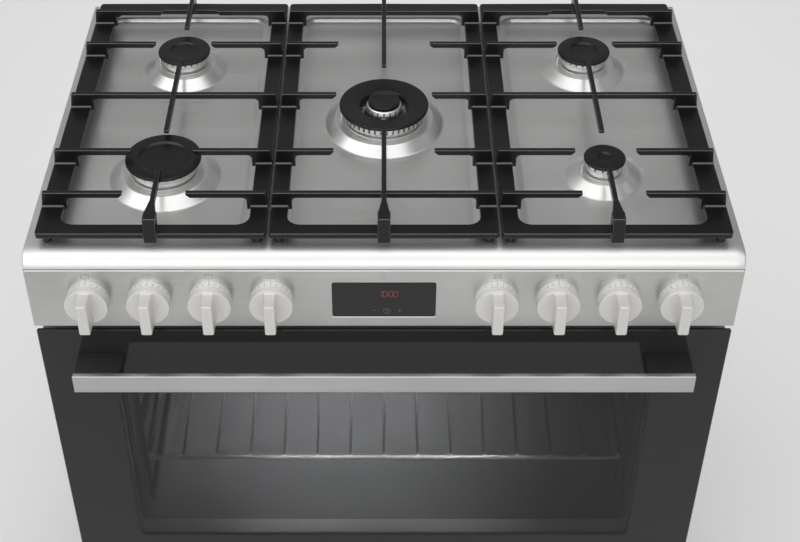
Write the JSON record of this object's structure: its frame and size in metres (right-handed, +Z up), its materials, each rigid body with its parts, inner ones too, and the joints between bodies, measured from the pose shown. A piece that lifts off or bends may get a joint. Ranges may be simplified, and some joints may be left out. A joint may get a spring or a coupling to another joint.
{
  "type": "range cooker",
  "caption": "Free-standing range cooker with a gas hob, pan supports, turn knobs, a clock, a wide drop-down glass oven door with a bar handle and a storage drawer.",
  "frame": {"origin": "on the floor, midway across the width and midway between the handle's front face and the rear edge of the hob", "axes": "+X to the cook's right, +Y to the back wall, +Z up"},
  "size_m": [0.9, 0.65, 0.941],
  "materials": {
    "stainless": "fine brushed stainless steel",
    "aluminium": "satin cast aluminium",
    "cast_iron": "matt black enamelled cast iron",
    "cap_enamel": "matt black enamel",
    "dark_glass": "gloss black display window",
    "door_glass": "tinted toughened glass with a black border",
    "ring_metal": "satin silver dial ring",
    "knob_metal": "satin champagne silver",
    "brass": "machined brass taps and pipe",
    "black_plastic": "satin black moulding",
    "side_paint": "silver grey paint",
    "frame_paint": "black enamelled sheet",
    "zinc_sheet": "zinc plated sheet steel",
    "oven_enamel": "speckled dark grey vitreous enamel",
    "chrome_wire": "bright chromed wire",
    "element_steel": "heat darkened heating rod",
    "lamp_glass": "clear ribbed lamp lens",
    "seal_rubber": "black silicone seal",
    "foot_plastic": "black levelling foot"
  },
  "bodies": {
    "cooker": {"hob_top": "stainless", "control_panel": "stainless", "burner_cups": "aluminium", "clock_display": "dark_glass", "dial_rings": "ring_metal", "gas_rail": "brass", "oven_switches": "black_plastic", "side_panel_left": "side_paint", "side_panel_right": "side_paint", "back_panel": "zinc_sheet", "base_tray": "zinc_sheet", "front_frame": "frame_paint", "oven_cavity": "oven_enamel", "shelf_ladders": "chrome_wire", "grill_element": "element_steel", "fan_cover": "oven_enamel", "fan_motor": "zinc_sheet", "oven_lamp": "lamp_glass", "door_seal": "seal_rubber", "hinge_arms": "zinc_sheet", "drawer_runners": "zinc_sheet"},
    "oven_door": {"door_outer_glass": "door_glass", "door_frame": "frame_paint", "door_inner_glass": "door_glass", "handle_bar": "stainless", "handle_brackets": "black_plastic"},
    "drawer": {"drawer_front": "stainless", "drawer_box": "zinc_sheet"},
    "fan": {"convection_fan": "aluminium"},
    "shelf": {"wire_shelf": "chrome_wire"},
    "foot_front_left": {"foot_front_left": "foot_plastic"},
    "foot_rear_left": {"foot_rear_left": "foot_plastic"},
    "foot_front_right": {"foot_front_right": "foot_plastic"},
    "foot_rear_right": {"foot_rear_right": "foot_plastic"},
    "knob_1": {"knob_1": "knob_metal"},
    "knob_2": {"knob_2": "knob_metal"},
    "knob_3": {"knob_3": "knob_metal"},
    "knob_4": {"knob_4": "knob_metal"},
    "knob_5": {"knob_5": "knob_metal"},
    "knob_6": {"knob_6": "knob_metal"},
    "knob_7": {"knob_7": "knob_metal"},
    "knob_8": {"knob_8": "knob_metal"},
    "spindle_4": {"tap_spindle_4": "zinc_sheet"},
    "spindle_5": {"tap_spindle_5": "zinc_sheet"},
    "spindle_6": {"tap_spindle_6": "zinc_sheet"},
    "spindle_7": {"tap_spindle_7": "zinc_sheet"},
    "spindle_8": {"tap_spindle_8": "zinc_sheet"},
    "pan_support_left": {"pan_support_left": "cast_iron"},
    "pan_support_centre": {"pan_support_centre": "cast_iron"},
    "pan_support_right": {"pan_support_right": "cast_iron"},
    "burner_head_front_left": {"burner_head_front_left": "aluminium"},
    "burner_cap_front_left": {"burner_cap_front_left": "cap_enamel"},
    "burner_head_rear_left": {"burner_head_rear_left": "aluminium"},
    "burner_cap_rear_left": {"burner_cap_rear_left": "cap_enamel"},
    "burner_head_centre": {"burner_head_centre": "aluminium"},
    "burner_cap_centre": {"burner_cap_centre": "cap_enamel"},
    "burner_head_rear_right": {"burner_head_rear_right": "aluminium"},
    "burner_cap_rear_right": {"burner_cap_rear_right": "cap_enamel"},
    "burner_head_front_right": {"burner_head_front_right": "aluminium"},
    "burner_cap_front_right": {"burner_cap_front_right": "cap_enamel"}
  },
  "joints": [
    {"name": "oven_door_hinge", "type": "hinge", "parent": "cooker", "child": "oven_door", "pos_m": [0, -0.26, 0.2925], "axis": [1, 0, 0], "range_deg": [0, 90], "stiffness_Nm_per_rad": 8, "springref_deg": -20.05},
    {"name": "drawer_slide", "type": "slide", "parent": "cooker", "child": "drawer", "axis": [0, -1, 0], "range_m": [0, 0.38]},
    {"name": "fan_spin", "type": "hinge", "parent": "cooker", "child": "fan", "pos_m": [0, 0.2062, 0.5115], "axis": [0, 1, 0], "continuous": true},
    {"name": "shelf_slide", "type": "slide", "parent": "cooker", "child": "shelf", "axis": [0, -1, 0], "range_m": [0, 0.02]},
    {"name": "foot_front_left_height", "type": "slide", "parent": "cooker", "child": "foot_front_left", "axis": [0, 0, -1], "range_m": [0, 0.03]},
    {"name": "foot_rear_left_height", "type": "slide", "parent": "cooker", "child": "foot_rear_left", "axis": [0, 0, -1], "range_m": [0, 0.03]},
    {"name": "foot_front_right_height", "type": "slide", "parent": "cooker", "child": "foot_front_right", "axis": [0, 0, -1], "range_m": [0, 0.03]},
    {"name": "foot_rear_right_height", "type": "slide", "parent": "cooker", "child": "foot_rear_right", "axis": [0, 0, -1], "range_m": [0, 0.03]},
    {"name": "knob_1_turn", "type": "hinge", "parent": "cooker", "child": "knob_1", "pos_m": [-0.3742, -0.275, 0.834], "axis": [0, -1, 0], "range_deg": [-300, 0]},
    {"name": "knob_2_turn", "type": "hinge", "parent": "cooker", "child": "knob_2", "pos_m": [-0.2968, -0.275, 0.834], "axis": [0, -1, 0], "range_deg": [-300, 0]},
    {"name": "knob_3_turn", "type": "hinge", "parent": "cooker", "child": "knob_3", "pos_m": [-0.2194, -0.275, 0.834], "axis": [0, -1, 0], "range_deg": [-300, 0]},
    {"name": "spindle_4_push", "type": "slide", "parent": "cooker", "child": "spindle_4", "axis": [0, 1, 0], "range_m": [0, 0.003], "stiffness_N_per_m": 900},
    {"name": "knob_4_turn", "type": "hinge", "parent": "spindle_4", "child": "knob_4", "pos_m": [-0.142, -0.275, 0.834], "axis": [0, -1, 0], "range_deg": [0, 210]},
    {"name": "spindle_5_push", "type": "slide", "parent": "cooker", "child": "spindle_5", "axis": [0, 1, 0], "range_m": [0, 0.003], "stiffness_N_per_m": 900},
    {"name": "knob_5_turn", "type": "hinge", "parent": "spindle_5", "child": "knob_5", "pos_m": [0.142, -0.275, 0.834], "axis": [0, -1, 0], "range_deg": [0, 210]},
    {"name": "spindle_6_push", "type": "slide", "parent": "cooker", "child": "spindle_6", "axis": [0, 1, 0], "range_m": [0, 0.003], "stiffness_N_per_m": 900},
    {"name": "knob_6_turn", "type": "hinge", "parent": "spindle_6", "child": "knob_6", "pos_m": [0.2194, -0.275, 0.834], "axis": [0, -1, 0], "range_deg": [0, 210]},
    {"name": "spindle_7_push", "type": "slide", "parent": "cooker", "child": "spindle_7", "axis": [0, 1, 0], "range_m": [0, 0.003], "stiffness_N_per_m": 900},
    {"name": "knob_7_turn", "type": "hinge", "parent": "spindle_7", "child": "knob_7", "pos_m": [0.2968, -0.275, 0.834], "axis": [0, -1, 0], "range_deg": [0, 210]},
    {"name": "spindle_8_push", "type": "slide", "parent": "cooker", "child": "spindle_8", "axis": [0, 1, 0], "range_m": [0, 0.003], "stiffness_N_per_m": 900},
    {"name": "knob_8_turn", "type": "hinge", "parent": "spindle_8", "child": "knob_8", "pos_m": [0.3742, -0.275, 0.834], "axis": [0, -1, 0], "range_deg": [0, 210]},
    {"name": "pan_support_left_lift", "type": "slide", "parent": "cooker", "child": "pan_support_left", "axis": [0, 0, 1], "range_m": [0, 0.12]},
    {"name": "pan_support_centre_lift", "type": "slide", "parent": "cooker", "child": "pan_support_centre", "axis": [0, 0, 1], "range_m": [0, 0.12]},
    {"name": "pan_support_right_lift", "type": "slide", "parent": "cooker", "child": "pan_support_right", "axis": [0, 0, 1], "range_m": [0, 0.12]},
    {"name": "head_front_left_lift", "type": "slide", "parent": "cooker", "child": "burner_head_front_left", "axis": [0, 0, 1], "range_m": [0, 0.004]},
    {"name": "cap_front_left_lift", "type": "slide", "parent": "burner_head_front_left", "child": "burner_cap_front_left", "axis": [0, 0, 1], "range_m": [0, 0.004]},
    {"name": "head_rear_left_lift", "type": "slide", "parent": "cooker", "child": "burner_head_rear_left", "axis": [0, 0, 1], "range_m": [0, 0.06]},
    {"name": "cap_rear_left_lift", "type": "slide", "parent": "burner_head_rear_left", "child": "burner_cap_rear_left", "axis": [0, 0, 1], "range_m": [0, 0.06]},
    {"name": "head_centre_lift", "type": "slide", "parent": "cooker", "child": "burner_head_centre", "axis": [0, 0, 1], "range_m": [0, 0.06]},
    {"name": "cap_centre_lift", "type": "slide", "parent": "burner_head_centre", "child": "burner_cap_centre", "axis": [0, 0, 1], "range_m": [0, 0.06]},
    {"name": "head_rear_right_lift", "type": "slide", "parent": "cooker", "child": "burner_head_rear_right", "axis": [0, 0, 1], "range_m": [0, 0.06]},
    {"name": "cap_rear_right_lift", "type": "slide", "parent": "burner_head_rear_right", "child": "burner_cap_rear_right", "axis": [0, 0, 1], "range_m": [0, 0.06]},
    {"name": "head_front_right_lift", "type": "slide", "parent": "cooker", "child": "burner_head_front_right", "axis": [0, 0, 1], "range_m": [0, 0.06]},
    {"name": "cap_front_right_lift", "type": "slide", "parent": "burner_head_front_right", "child": "burner_cap_front_right", "axis": [0, 0, 1], "range_m": [0, 0.06]}
  ]
}
